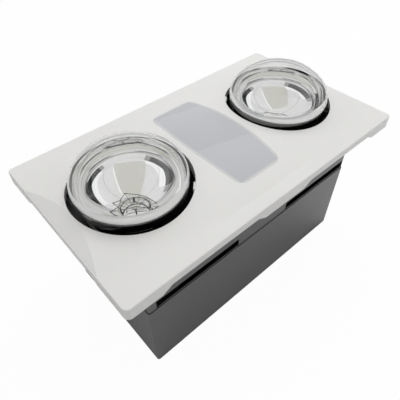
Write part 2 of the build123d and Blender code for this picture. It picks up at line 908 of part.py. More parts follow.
def holder_shell(x):
    inner = holder_shell_radius - holder_shell_wall
    shell = bar(holder_shell_radius, -holder_well_drop, -holder_shell_top_drop, x, 0, inner)
    high = -cap_contact_drop - running_gap
    tongue_low = high - holder_tongue_thickness
    seat = slab(holder_tongue_width, holder_tongue_width, -holder_well_drop, tongue_low, 0, x)
    tongue = slab(2 * holder_tongue_width, holder_tongue_width, tongue_low, high, 0, x)
    return [shell, seat + tongue]


def holder_bracket(x):
    top = -holder_bottom_drop
    half = bracket_half_span
    centre = top - bracket_sheet / 2
    foot = box_floor + bracket_sheet / 2
    points = [
        (-half - bracket_foot, foot),
        (-half, foot),
        (-half, centre),
        (half, centre),
        (half, foot),
        (half + bracket_foot, foot),
    ]
    path = FilletPolyline(points, radius=bracket_bend)
    strip = trace(path, bracket_sheet)
    solid = extrude(Plane.XZ * strip, amount=bracket_width / 2, both=True)
    for side in (-1, 1):
        hole_x = side * (half + bracket_foot / 2 + bracket_bend / 2)
        solid -= bar(screw_shank_radius, box_floor - overrun, box_floor + overrun, hole_x, 0)
    return Pos(x, 0) * solid


def screw_places_base():
    reach = bracket_half_span + bracket_foot / 2 + bracket_bend / 2
    return [(x + side * reach, 0) for x in lamp_centres for side in (-1, 1)]


def bracket_screws():
    seat = box_floor + bracket_sheet
    length = bracket_sheet + box_sheet
    return [Pos(x, y, seat) * screw(length) for x, y in screw_places_base()]


# Fan scroll: three quarter arcs of growing radius, then straight up to the rear wall
def scroll_path(grow=0.0):
    first = scroll_first_radius + grow
    second, third = first + scroll_step, first + 2 * scroll_step
    tongue = scroll_tongue_x - grow
    start_angle = degrees(acos(tongue / first))
    start = (fan_x + tongue, fan_y + first * sin(radians(start_angle)))
    low_turn = (fan_x + scroll_step, fan_y)
    last_turn = (fan_x + scroll_step, fan_y + scroll_step)
    exit_x = last_turn[0] + third
    rear = wall_inside - box_base_bend + box_sheet - slip_gap
    first_arc = CenterArc((fan_x, fan_y), first, start_angle, half_turn - start_angle)
    second_arc = CenterArc(low_turn, second, half_turn, quarter_turn)
    third_arc = CenterArc(last_turn, third, half_turn + quarter_turn, quarter_turn)
    return [
        Line((start[0], rear), start),
        first_arc,
        second_arc,
        third_arc,
        Line((exit_x, last_turn[1]), (exit_x, rear)),
    ], ((exit_x, rear), (start[0], rear))


def scroll_area(grow=0.0):
    edges, closing = scroll_path(grow)
    return make_face(edges + [Line(*closing)])


def fan_scroll():
    depth = scroll_height - scroll_sheet
    outer = extrude(Plane.XY.offset(scroll_low) * scroll_area(scroll_sheet), amount=depth)
    low = scroll_low + scroll_sheet
    inner = extrude(Plane.XY.offset(low) * scroll_area(), amount=scroll_height)
    body = outer - inner
    for x, y in mount_places():
        body -= bar(mount_bore_radius, scroll_low - overrun, low + overrun, x, y)
    return body


def scroll_cover():
    low = scroll_top - scroll_sheet
    plate = extrude(Plane.XY.offset(low) * scroll_area(scroll_sheet), amount=scroll_sheet)
    lip_low = low - inlet_lip_height
    mouth = inlet_radius + inlet_lip_flare
    plate -= bar(mouth, low - overrun, scroll_top + overrun, fan_x, fan_y)
    points = [
        (mouth, scroll_top),
        (mouth, low),
        (inlet_radius + scroll_sheet, lip_low),
        (inlet_radius, lip_low),
        (inlet_radius, low - scroll_sheet),
        (mouth - scroll_sheet, scroll_top),
    ]
    return plate + turned(points, fan_x, fan_y)


# One forward-curved blade, as an arc of sheet between the wheel's two radii
def blade_outline():
    chord_angle = (blade_entry_angle - blade_exit_angle) / 2
    rise = (wheel_radius - wheel_inner_radius) / 2
    sag = rise * tan(radians(chord_angle + quarter_turn / 4))
    near, far = wheel_inner_radius + slip_gap, wheel_radius - slip_gap
    middle = (near + far) / 2
    front = ThreePointArc((near, 0), (middle, -sag / 2), (far, blade_thickness))
    tip = 2 * blade_thickness
    back = ThreePointArc((far, tip), (middle, blade_thickness - sag / 2), (near, blade_thickness))
    return make_face([front, Line(front @ 1, back @ 0), back, Line(back @ 1, front @ 0)])


def impeller():
    low, high = wheel_low, wheel_high
    cone_high = motor_low + motor_height + motor_boss_height + cone_drop
    hub_high = cone_high + hub_height
    rim_low = low + cone_wall
    points = [
        (wheel_radius, low),
        (wheel_radius, rim_low),
        (wheel_inner_radius, rim_low),
        (cone_top_radius, cone_high),
        (hub_radius, cone_high + cone_wall),
        (hub_radius, hub_high),
        (shaft_radius, hub_high),
        (shaft_radius, cone_high - cone_wall),
        (hub_radius, cone_high - cone_wall),
        (cone_top_radius - cone_wall, cone_high - cone_wall),
        (wheel_inner_radius - cone_wall, low),
    ]
    wheel = turned(points)
    blade_low = low + cone_wall / 2
    blade = extrude(Plane.XY.offset(blade_low) * blade_outline(), amount=high - blade_low)
    for index in range(blade_count):
        wheel += turn_about(blade, full_turn * index / blade_count)
    wheel += bar(wheel_radius, high - ring_height, high, 0, 0, wheel_radius - ring_width)
    return Pos(fan_x, fan_y) * wheel


def motor_shaft():
    low = motor_low + motor_height - shaft_sunk
    cone_high = motor_low + motor_height + motor_boss_height + cone_drop
    hub_high = cone_high + hub_height
    nut_high = hub_high + shaft_nut_height
    shaft = bar(shaft_radius, low, nut_high, fan_x, fan_y)
    flats = Plane.XY.offset(hub_high) * Pos(fan_x, fan_y) * RegularPolygon(shaft_nut_radius, 6)
    return shaft + extrude(flats, amount=shaft_nut_height)


def mount_places():
    turns = [full_turn * i / mount_count for i in range(mount_count)]
    return [
        (fan_x + mount_circle_radius * cos(radians(a)), fan_y + mount_circle_radius * sin(radians(a)))
        for a in turns
    ]


def fan_motor():
    low, high = motor_low, motor_low + motor_height
    points = [
        (0, low),
        (motor_foot_radius, low),
        (motor_foot_radius, low + motor_foot_thickness),
        (motor_radius, low + motor_foot_thickness),
        (motor_radius, high - motor_edge),
        (motor_radius - motor_edge, high),
        (motor_boss_radius, high),
        (motor_boss_radius, high + motor_boss_height),
        (0, high + motor_boss_height),
    ]
    body = turned(points, fan_x, fan_y)
    bore = shaft_radius + shaft_gap
    body -= bar(bore, high - shaft_sunk - running_gap, high + 2 * motor_boss_height, fan_x, fan_y)
    vent_low = low + (motor_height - motor_vent_height) / 2
    for index in range(motor_vent_count):
        vent = Pos(motor_radius, 0, vent_low + motor_vent_height / 2)
        cutter = vent * Box(motor_vent_width, motor_vent_width, motor_vent_height)
        body -= Pos(fan_x, fan_y) * turn_about(cutter, full_turn * (index + 1 / 2) / motor_vent_count)
    for x, y in mount_places():
        body -= bar(mount_bore_radius, low - overrun, low + motor_foot_thickness, x, y)
    return body


def motor_mounts():
    low = scroll_low + scroll_sheet
    return [bar(mount_radius, low, low + mount_height, x, y, mount_bore_radius) for x, y in mount_places()]


def motor_screws():
    seat = motor_low + motor_foot_thickness
    length = motor_foot_thickness + mount_height + scroll_sheet
    return [Pos(x, y, seat) * screw(length) for x, y in mount_places()]


# Duct outlet on the rear wall
def spigot_screw_places():
    half = spigot_plate_half - screw_head_radius - outlet_inset
    return [(spigot_x + a * half, -spigot_drop + b * half) for a in (-1, 1) for b in (-1, 1)]


def duct_spigot():
    plate_far = wall_outside + spigot_plate_thickness
    face = Plane(origin=(spigot_x, wall_outside, -spigot_drop), x_dir=(1, 0, 0), z_dir=(0, 1, 0))
    outline = RectangleRounded(2 * spigot_plate_half, 2 * spigot_plate_half, spigot_plate_corner)
    body = extrude(face * outline, amount=spigot_plate_thickness)
    end = plate_far + spigot_length
    body += bar_along_y(duct_outer_radius, wall_outside, end, spigot_x, -spigot_drop)
    lip_start = damper_y - flap_thickness / 2 - slip_gap - stop_lip_thickness
    lip_end = lip_start + stop_lip_thickness
    lip_radius = duct_inner_radius - stop_lip_width
    body -= bar_along_y(duct_inner_radius, lip_end, end + overrun, spigot_x, -spigot_drop)
    body -= bar_along_y(duct_inner_radius, wall_outside - overrun, lip_start, spigot_x, -spigot_drop)
    body -= bar_along_y(lip_radius, wall_outside, end, spigot_x, -spigot_drop)
    body -= bar(damper_pin_radius, -spigot_drop - duct_outer_radius - overrun, overrun, spigot_x, damper_y)
    for x, z in spigot_screw_places():
        body -= bar_along_y(screw_shank_radius, wall_outside - overrun, plate_far + overrun, x, z)
    return body


def spigot_screws():
    seat = wall_outside + spigot_plate_thickness
    places = [Plane(origin=(x, seat, z), z_dir=(0, 1, 0)) for x, z in spigot_screw_places()]
    return [place * screw() for place in places]


def damper_pin():
    half = duct_outer_radius
    radius = damper_pin_radius - shaft_gap
    return bar(radius, -spigot_drop - half, -spigot_drop + half, spigot_x, damper_y)


# Heights of one flap's knuckles: the left flap takes the upper one of each pair
def knuckle_centres(side):
    offset = side * (knuckle_height + knuckle_gap) / 2
    return [-spigot_drop + pair * knuckle_pair_pitch / 2 - offset for pair in (-1, 1)]


# One half disc of the back-draught damper, side -1 at -X and +1 at +X
def damper_flap(side):
    radius = duct_inner_radius - flap_wall_gap
    start = damper_y - flap_thickness / 2
    disc = bar_along_y(radius, start, start + flap_thickness, spigot_x, -spigot_drop)
    half_box = Pos(spigot_x + side * (flap_hinge_gap + radius), damper_y, -spigot_drop)
    flap = disc & half_box * Box(2 * radius, 2 * radius, 2 * radius)
    for centre in knuckle_centres(side):
        low, high = centre - knuckle_height / 2, centre + knuckle_height / 2
        web_x = spigot_x + side * (flap_hinge_gap + knuckle_radius / 2) / 2
        web = Pos(web_x, damper_y, centre) * Box(
            flap_hinge_gap + knuckle_radius / 2, flap_thickness, knuckle_height
        )
        flap += web + bar(knuckle_radius, low, high, spigot_x, damper_y)
        flap -= bar(damper_pin_radius, low - overrun, high + overrun, spigot_x, damper_y)
    return flap


# Light source behind the lens
def led_tray():
    length, width = 2 * led_tray_half_width, 2 * led_tray_half_length
    tray = slab(length, width, shield_high, shield_high + led_tray_height, led_board_margin)
    inner = (length - 2 * led_tray_sheet, width - 2 * led_tray_sheet)
    floor = shield_high + led_tray_sheet
    return tray - slab(*inner, floor, shield_high + 2 * led_tray_height, led_board_margin - led_tray_sheet)


def led_board():
    length = 2 * (led_tray_half_width - led_board_margin)
    width = 2 * (led_tray_half_length - led_board_margin)
    low = shield_high + led_tray_sheet
    return slab(length, width, low, low + led_board_thickness)


def led_chips():
    low = shield_high + led_tray_sheet + led_board_thickness
    pitch_x = 2 * (led_tray_half_width - led_board_margin) / led_chip_columns
    pitch_y = 2 * (led_tray_half_length - led_board_margin) / led_chip_rows
    solids = []
    for column in range(led_chip_columns):
        for row in range(led_chip_rows):
            x = (column - (led_chip_columns - 1) / 2) * pitch_x
            y = (row - (led_chip_rows - 1) / 2) * pitch_y
            solids.append(slab(led_chip_size, led_chip_size, low, low + led_chip_height, 0, x, y))
    return solids


def led_driver():
    high = shield_low
    case = slab(driver_width, driver_length, high - driver_height, high, driver_corner)
    foot_length = driver_length + 2 * driver_foot
    foot = slab(driver_width / 2, foot_length, high - driver_foot_thickness, high)
    return case + foot


def thermal_cutout():
    foot_low = shield_low - cutout_foot_thickness
    foot = slab(2 * cutout_foot_half, cutout_foot_width, foot_low, shield_low, 0, 0, cutout_y)
    return foot + bar(cutout_radius, foot_low - cutout_height, foot_low, 0, cutout_y)


# Terminal block on the inside of the +X end wall
def terminal_screw_places():
    half = terminal_length / 2 + screw_head_radius + hinge_foot_margin
    return (-half, half)


def way_pitch():
    return terminal_length / terminal_ways


def way_places():
    return [(i - (terminal_ways - 1) / 2) * way_pitch() for i in range(terminal_ways)]


def terminal_block():
    far = end_inside
    near = far - terminal_height
    half = terminal_width / 2
    body = Pos((near + far) / 2, 0, -terminal_drop) * Box(terminal_height, terminal_length, terminal_width)
    ear_half = terminal_length / 2 + 2 * (screw_head_radius + hinge_foot_margin)
    ear = Pos(far - terminal_foot_height / 2, 0, -terminal_drop)
    body += ear * Box(terminal_foot_height, 2 * ear_half, terminal_width / 2)
    for y in way_places():
        body -= bar(terminal_hole_radius, -terminal_drop - half - overrun, -terminal_drop + half + overrun,
                    (near + far) / 2, y)
        body -= bar_along_x(terminal_screw_radius + slip_gap, near - overrun, near + terminal_well_depth, y,
                            -terminal_drop)
    for y in terminal_screw_places():
        body -= bar_along_x(screw_shank_radius, near - overrun, far + overrun, y, -terminal_drop)
    return body


def terminal_screws():
    near = end_inside - terminal_height
    clamp = [
        bar_along_x(terminal_screw_radius, near + slip_gap, near + terminal_well_depth, y, -terminal_drop)
        for y in way_places()
    ]
    seat = end_inside - terminal_foot_height
    length = terminal_foot_height + box_sheet
    places = [Plane(origin=(seat, y, -terminal_drop), z_dir=(-1, 0, 0)) for y in terminal_screw_places()]
    return clamp + [place * screw(length) for place in places]


def cable_grommet():
    inside, outside = end_inside, box_length / 2
    body = bar_along_x(grommet_outer_radius, inside - grommet_flange, inside, cable_y, -cable_drop)
    body += bar_along_x(grommet_neck_radius, inside, outside, cable_y, -cable_drop)
    body += bar_along_x(grommet_outer_radius, outside, outside + grommet_flange, cable_y, -cable_drop)
    start, end = inside - 2 * grommet_flange, outside + 2 * grommet_flange
    return body - bar_along_x(grommet_bore_radius, start, end, cable_y, -cable_drop)


# Two-bar clamp that grips the cable behind the grommet; the lower bar stands on the wall by two ears
def cable_clamp():
    x = end_inside - clamp_wall_gap
    near = x + clamp_width / 2
    solids = []
    for side in (-1, 1):
        z = -cable_drop + side * (clamp_thickness / 2 + running_gap)
        jaw = Pos(x, cable_y, z) * Box(clamp_width, clamp_length, clamp_thickness)
        if side < 0:
            for ear in (-1, 1):
                y = cable_y + ear * (clamp_length - clamp_ear_width) / 2
                foot = Pos((near + end_inside) / 2, y, z)
                jaw += foot * Box(end_inside - near, clamp_ear_width, clamp_thickness)
        grip = grommet_bore_radius + running_gap
        jaw -= bar_along_x(grip, x - clamp_width, x + clamp_width, cable_y, -cable_drop)
        for px, py in clamp_screw_places():
            jaw -= bar(screw_shank_radius, z - clamp_thickness, z + clamp_thickness, px, py)
        solids.append(jaw)
    return solids


def clamp_screw_places():
    x = end_inside - clamp_wall_gap
    half = (clamp_length - clamp_ear_width) / 2
    return [(x, cable_y - half), (x, cable_y + half)]


def clamp_screws():
    seat = -cable_drop + running_gap + clamp_thickness
    length = 2 * clamp_thickness + 2 * running_gap
    return [Pos(x, y, seat) * screw(length) for x, y in clamp_screw_places()]


pieces = {
    "fascia": fascia(),
    "light_lens": light_lens(),
    "housing_box": housing_box(),
    "mounting_frame": mounting_frame(),
    "frame_rivets": frame_rivets(),
    "heat_shield": heat_shield(),
    "shield_screws": shield_screws(),
    "fascia_clips": fascia_clips(),
    "fan_scroll": fan_scroll(),
    "scroll_cover": scroll_cover(),
    "impeller": impeller(),
    "motor_shaft": motor_shaft(),
    "fan_motor": fan_motor(),
    "motor_mounts": motor_mounts(),
    "motor_screws": motor_screws(),
    "duct_spigot": duct_spigot(),
    "spigot_screws": spigot_screws(),
    "damper_pin": damper_pin(),
    "damper_flap_left": damper_flap(-1),
    "damper_flap_right": damper_flap(1),
    "bracket_screws": bracket_screws(),
    "led_tray": led_tray(),
    "led_board": led_board(),
    "led_chips": led_chips(),
    "led_driver": led_driver(),
    "thermal_cutout": thermal_cutout(),
    "terminal_block": terminal_block(),
    "terminal_screws": terminal_screws(),
    "cable_grommet": cable_grommet(),
    "cable_clamp": cable_clamp(),
    "clamp_screws": clamp_screws(),
}

for side, centre in zip(sides, lamp_centres):
    pieces[f"lamp_glass_{side}"] = lamp_glass(centre)
    pieces[f"lamp_mirror_{side}"] = lamp_mirror(centre)
    pieces[f"lamp_cap_{side}"] = lamp_cap(centre)
    pieces[f"lamp_stem_{side}"] = lamp_stem(centre)
    pieces[f"lamp_supports_{side}"] = lamp_supports(centre)
    pieces[f"lamp_filament_{side}"] = lamp_filament(centre)
    pieces[f"lampholder_{side}"] = lampholder(centre)
    pieces[f"holder_shell_{side}"] = holder_shell(centre)
    pieces[f"holder_bracket_{side}"] = holder_bracket(centre)

os.makedirs("parts", exist_ok=True)
for name, piece in pieces.items():
    solids = piece if isinstance(piece, list) else [piece]
    shape = Compound(children=[s for solid in solids for s in solid.solids()])
    export_step(shape, f"parts/{name}.step")
    box = shape.bounding_box()
    print(f"{name:24s} {len(shape.solids()):3d} solids  {box.min.Z:8.2f} to {box.max.Z:8.2f} high")
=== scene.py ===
import json
import bpy
from math import asin, atan2, cos, pi, radians, sin, tan
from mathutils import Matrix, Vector

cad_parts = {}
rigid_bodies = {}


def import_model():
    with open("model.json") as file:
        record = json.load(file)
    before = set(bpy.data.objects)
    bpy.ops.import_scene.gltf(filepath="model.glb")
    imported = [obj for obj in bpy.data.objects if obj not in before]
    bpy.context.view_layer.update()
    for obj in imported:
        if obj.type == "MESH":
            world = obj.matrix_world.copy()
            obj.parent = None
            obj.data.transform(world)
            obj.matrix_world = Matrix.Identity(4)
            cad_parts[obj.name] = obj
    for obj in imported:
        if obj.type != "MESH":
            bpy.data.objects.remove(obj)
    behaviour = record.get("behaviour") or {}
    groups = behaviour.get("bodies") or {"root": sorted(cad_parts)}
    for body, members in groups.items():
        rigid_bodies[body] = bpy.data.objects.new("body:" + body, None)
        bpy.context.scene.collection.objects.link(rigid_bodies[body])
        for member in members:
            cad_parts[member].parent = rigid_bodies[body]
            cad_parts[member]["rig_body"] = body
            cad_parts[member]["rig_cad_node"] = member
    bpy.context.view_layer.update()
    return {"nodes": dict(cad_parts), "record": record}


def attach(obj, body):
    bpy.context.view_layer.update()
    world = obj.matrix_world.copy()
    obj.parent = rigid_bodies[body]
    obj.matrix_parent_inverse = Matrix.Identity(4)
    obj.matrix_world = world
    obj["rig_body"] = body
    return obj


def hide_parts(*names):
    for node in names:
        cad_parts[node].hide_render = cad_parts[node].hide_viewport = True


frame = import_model()
nodes = frame["nodes"]
scene = bpy.context.scene
scene.view_settings.view_transform = "Standard"
print("frame loaded:", len(nodes), "nodes")


def clearSelection():
    for item in bpy.context.selected_objects:
        item.select_set(False)


def pick(item):
    clearSelection()
    item.select_set(True)
    bpy.context.view_layer.objects.active = item


def editMode(on):
    bpy.ops.object.mode_set(mode="EDIT" if on else "OBJECT")


def wear(piece, finish):
    piece.data.materials.clear()
    piece.data.materials.append(finish)


# Camera at the photograph's viewing angle
camera = {
    "place": (-0.25588, -0.27116, 0.30986),
    "turn": (43.2234, 0.6471, -41.6761),  # degrees
    "lens": 35.626,
    "sensor": 36,
    "nearest": 0.01,
}


def addCamera():
    data = bpy.data.cameras.new("camera")
    data.lens = camera["lens"]
    data.sensor_width = camera["sensor"]
    data.clip_start = camera["nearest"]
    item = bpy.data.objects.new("camera", data)
    item.location = camera["place"]
    item.rotation_euler = [radians(turn) for turn in camera["turn"]]
    scene.collection.objects.link(item)
    scene.camera = item


addCamera()
print("camera set")

# Finishes. Each one is a base colour that clouds over, a grain that roughens it, and a bump from the grain.
finishes = {
    "satinWhiteMoulding": {
        "colour": (0.80, 0.795, 0.782), "vary": 0.012, "soft": 0.05,
        "grain": 1400, "rough": 0.36, "bump": 0.02,
    },
    "frostedLens": {
        "colour": (0.55, 0.56, 0.583), "vary": 0.02,
        "grain": 2200, "rough": 0.5, "bump": 0.05,
    },
    "satinGreySteel": {
        "colour": (0.185, 0.185, 0.188), "vary": 0.05, "metal": 0.75,
        "grain": 500, "stretch": (1, 1, 14), "rough": 0.36, "bump": 0.03,
    },
    "zincSteel": {
        "colour": (0.60, 0.61, 0.62), "vary": 0.06, "metal": 1,
        "grain": 500, "rough": 0.3, "bump": 0.04,
    },
    # Heat shield: its own black paint, made near-black also as painted shade for the unlit inside of the box
    # round the lamps
    "blackShieldPaintAndShade": {
        "colour": (0.012, 0.012, 0.013), "vary": 0.1,
        "grain": 900, "rough": 0.4, "bump": 0.05,
    },
    "drawnWire": {
        "colour": (0.06, 0.06, 0.06), "vary": 0.08, "metal": 0.3,
        "grain": 3000, "rough": 0.4, "bump": 0.03,
    },
    "pressedBrass": {
        "colour": (0.72, 0.58, 0.34), "vary": 0.06, "metal": 1,
        "grain": 900, "rough": 0.3, "bump": 0.03,
    },
    "glazedPorcelain": {
        "colour": (0.82, 0.81, 0.77), "vary": 0.03, "coat": 0.5,
        "grain": 700, "rough": 0.22, "bump": 0.02,
    },
    "fanMoulding": {
        "colour": (0.05, 0.05, 0.055), "vary": 0.08,
        "grain": 1200, "rough": 0.5, "bump": 0.05,
    },
    "motorPaint": {
        "colour": (0.09, 0.09, 0.10), "vary": 0.08, "metal": 0.3,
        "grain": 900, "rough": 0.4, "bump": 0.04,
    },
    "mountRubber": {
        "colour": (0.025, 0.025, 0.025), "vary": 0.1,
        "grain": 1500, "rough": 0.8, "bump": 0.1,
    },
    "ductMoulding": {
        "colour": (0.66, 0.66, 0.65), "vary": 0.02,
        "grain": 1200, "rough": 0.45, "bump": 0.03,
    },
    "millAluminium": {
        "colour": (0.66, 0.67, 0.68), "vary": 0.04, "metal": 1,
        "grain": 400, "stretch": (1, 1, 12), "rough": 0.34, "bump": 0.03,
    },
    "solderMask": {
        "colour": (0.80, 0.80, 0.78), "vary": 0.02,
        "grain": 1500, "rough": 0.4, "bump": 0.02,
    },
    "phosphorYellow": {
        "colour": (0.85, 0.76, 0.35), "vary": 0.04,
        "grain": 2500, "rough": 0.6, "bump": 0.03,
    },
    "caseMoulding": {
        "colour": (0.72, 0.72, 0.71), "vary": 0.02,
        "grain": 1400, "rough": 0.45, "bump": 0.03,
    },
    "cutoutMoulding": {
        "colour": (0.03, 0.03, 0.03), "vary": 0.08,
        "grain": 1400, "rough": 0.4, "bump": 0.03,
    },
}
grainLook = {
    "clouds": 14,
    "cloudDetail": 3,
    "low": 0.3,
    "high": 0.7,
    "grainDetail": 4,
    "spread": 0.15,
    "depth": 0.0005,
    "softScale": 0.002,
}


def noise(tree, scale, detail, source):
    texture = tree.nodes.new("ShaderNodeTexNoise")
    texture.inputs["Scale"].default_value = scale
    texture.inputs["Detail"].default_value = detail
    tree.links.new(source, texture.inputs["Vector"])
    return texture.outputs["Fac"]


def tint(tree, level, low, high, first, last):
    ramp = tree.nodes.new("ShaderNodeValToRGB")
    ramp.color_ramp.elements[0].position = low
    ramp.color_ramp.elements[1].position = high
    ramp.color_ramp.elements[0].color = (*first, 1)
    ramp.color_ramp.elements[1].color = (*last, 1)
    tree.links.new(level, ramp.inputs["Fac"])
    return ramp.outputs["Color"]


def spread(tree, level, low, high):
    stretch = tree.nodes.new("ShaderNodeMapRange")
    stretch.inputs["To Min"].default_value = low
    stretch.inputs["To Max"].default_value = high
    tree.links.new(level, stretch.inputs["Value"])
    return stretch.outputs["Result"]


def bump(tree, level, strength, depth):
    node = tree.nodes.new("ShaderNodeBump")
    node.inputs["Strength"].default_value = strength
    node.inputs["Distance"].default_value = depth
    tree.links.new(level, node.inputs["Height"])
    return node.outputs["Normal"]


def newFinish(name):
    finish = bpy.data.materials.new(name)
    finish.use_nodes = True
    tree = finish.node_tree
    where = tree.nodes.new("ShaderNodeTexCoord")
    return finish, tree, tree.nodes["Principled BSDF"], where.outputs["Object"]


def grained(name):
    look = finishes[name]
    finish, tree, shader, where = newFinish(name)
    stretch = tree.nodes.new("ShaderNodeMapping")
    stretch.inputs["Scale"].default_value = look.get("stretch", (1, 1, 1))
    tree.links.new(where, stretch.inputs["Vector"])
    clouds = noise(tree, grainLook["clouds"], grainLook["cloudDetail"], where)
    grain = noise(tree, look["grain"], grainLook["grainDetail"], stretch.outputs["Vector"])
    darker = [part * (1 - look["vary"]) for part in look["colour"]]
    lighter = [min(part * (1 + look["vary"]), 1) for part in look["colour"]]
    colour = tint(tree, clouds, grainLook["low"], grainLook["high"], darker, lighter)
    tree.links.new(colour, shader.inputs["Base Color"])
    smooth = look["rough"] * (1 - grainLook["spread"])
    coarse = look["rough"] * (1 + grainLook["spread"])
    tree.links.new(spread(tree, grain, smooth, coarse), shader.inputs["Roughness"])
    tree.links.new(bump(tree, grain, look["bump"], grainLook["depth"]), shader.inputs["Normal"])
    shader.inputs["Metallic"].default_value = look.get("metal", 0)
    shader.inputs["Coat Weight"].default_value = look.get("coat", 0)
    shader.inputs["Subsurface Weight"].default_value = look.get("soft", 0)
    shader.inputs["Subsurface Scale"].default_value = grainLook["softScale"]
    return finish


made = {name: grained(name) for name in finishes}

# Light panel: grey in the middle, paler at its border, and with a painted reflection: bands across it that
# each darken towards the front
lens = {
    "middle": 0.038,  # half its width at the middle
    "bow": 0.007,  # how much less that is at its ends
    "half": 0.079,  # half its length
    "fade": 0.004,  # width of the pale border
    "edge": (0.72, 0.72, 0.71),
    "dark": (0.93, 0.93, 0.935),
    # painted reflection: width of each band, slope of its edges and where one edge lies
    "reflectionBand": 0.085,
    "tilt": 0.251,
    "join": 0.0209,
}


def sums(tree, operation, *values):
    node = tree.nodes.new("ShaderNodeMath")
    node.operation = operation
    for slot, value in enumerate(values):
        if isinstance(value, (int, float)):
            node.inputs[slot].default_value = value
        else:
            tree.links.new(value, node.inputs[slot])
    return node.outputs["Value"]


def mixed(tree, kind, level, first, last):
    node = tree.nodes.new("ShaderNodeMix")
    node.data_type = "RGBA"
    node.blend_type = kind
    tree.links.new(level, node.inputs["Factor"])
    for name, colour in (("A", first), ("B", last)):
        slot = next(place for place in node.inputs if place.name == name and place.type == "RGBA")
        if isinstance(colour, tuple):
            slot.default_value = (*colour, 1)
        else:
            tree.links.new(colour, slot)
    return next(place for place in node.outputs if place.type == "RGBA")


def dressLens(finish):
    tree = finish.node_tree
    shader = tree.nodes["Principled BSDF"]
    where = tree.nodes.new("ShaderNodeTexCoord")
    split = tree.nodes.new("ShaderNodeSeparateXYZ")
    tree.links.new(where.outputs["Object"], split.inputs[0])
    across, along = split.outputs["X"], split.outputs["Y"]
    square = sums(tree, "POWER", sums(tree, "MULTIPLY", along, 1 / lens["half"]), 2)
    width = sums(tree, "MULTIPLY_ADD", square, -lens["bow"], lens["middle"])
    fromSide = sums(tree, "SUBTRACT", width, sums(tree, "ABSOLUTE", across))
    fromEnd = sums(tree, "SUBTRACT", lens["half"], sums(tree, "ABSOLUTE", along))
    fade = tree.nodes.new("ShaderNodeMapRange")
    fade.interpolation_type = "SMOOTHSTEP"
    fade.inputs["From Max"].default_value = lens["fade"]
    fade.inputs["To Min"].default_value = 1
    fade.inputs["To Max"].default_value = 0
    tree.links.new(sums(tree, "MINIMUM", fromSide, fromEnd), fade.inputs["Value"])
    # Painted reflection: bands across the panel, each darker towards the front, over the panel's own grey
    place = sums(tree, "ADD", sums(tree, "MULTIPLY_ADD", across, lens["tilt"], along), lens["join"])
    half = sums(tree, "FRACT", sums(tree, "MULTIPLY", place, -1 / lens["reflectionBand"]))
    plain = shader.inputs["Base Color"].links[0].from_socket
    reflectionToned = mixed(tree, "MULTIPLY", half, plain, lens["dark"])
    colour = mixed(tree, "MIX", fade.outputs["Result"], reflectionToned, lens["edge"])
    tree.links.new(colour, shader.inputs["Base Color"])


dressLens(made["frostedLens"])
print("finishes made:", len(made))

# Heat lamps: a blown bulb with a flat round front, a silvered bowl behind it and a neck
lamp = {
    "spacing": 0.2314,  # between the two lamps' axes
    "rimHigh": 0.028,  # height of the widest place
    "radius": 0.0625,
    "rise": 0.0417,  # of the front above the rim
    "frontRound": 0.028,
    "depth": 0.045,  # of the bowl below the rim
    "bowlRound": 0.034,
    "mouth": 0.018,  # radius where the bowl meets the neck
    "mouthBlend": 0.0045,
    "neck": 0.0123,
    "taperLow": -0.072,  # where the neck turns straight
    "neckBlend": 0.012,
    "bottom": -0.086,
    "wall": 0.0012,
    "mirrorGap": 0.00015,
    "mirrorWall": 0.00035,
    "mirrorTop": 0.038,  # the silver ends a little above the rim
    "mirrorLow": -0.074,
    "stem": 0.005,
    "stemTop": -0.0265,
    "deflector": 0.0143,  # radius of the disc on the stem
    "deflectorSheet": 0.0005,
    "arcSteps": 22,
    "turns": 192,
    "seed": 0.0001,  # the plane that shrinks to the outline's first point
    "doubles": 0.000002,
    "smoothAngle": 35,
}


# A flat crown and a tighter round, tangent to each other, from the axis to the rim
def rimArcs(rise, rounding):
    radius = lamp["radius"]
    crown = (radius**2 + rise**2 - 2 * radius * rounding) / (2 * (rise - rounding))
    return crown, atan2(radius - rounding, crown - rise)


# Points of an arc from one lean to another, measured from straight up
def leanArc(centreR, centreZ, radius, start, stop):
    count = lamp["arcSteps"]
    leans = [start + (stop - start) * i / count for i in range(count + 1)]
    return [(centreR + radius * sin(lean), centreZ + radius * cos(lean)) for lean in leans]


# Points of the round that joins two straight runs, and how far it reaches along each of them
def cornerRound(corner, backwards, onwards, radius):
    half = Vector(backwards).angle(Vector(onwards)) / 2
    reach = radius / tan(half)
    middle = (Vector(backwards) + Vector(onwards)).normalized()
    centre = Vector(corner) + middle * (radius / sin(half))
    first = Vector(corner) + Vector(backwards) * reach - centre
    last = Vector(corner) + Vector(onwards) * reach - centre
    count = lamp["arcSteps"] // 2
    turns = [first.lerp(last, i / count).normalized() * radius + centre for i in range(count + 1)]
    return reach, [tuple(turn) for turn in turns]


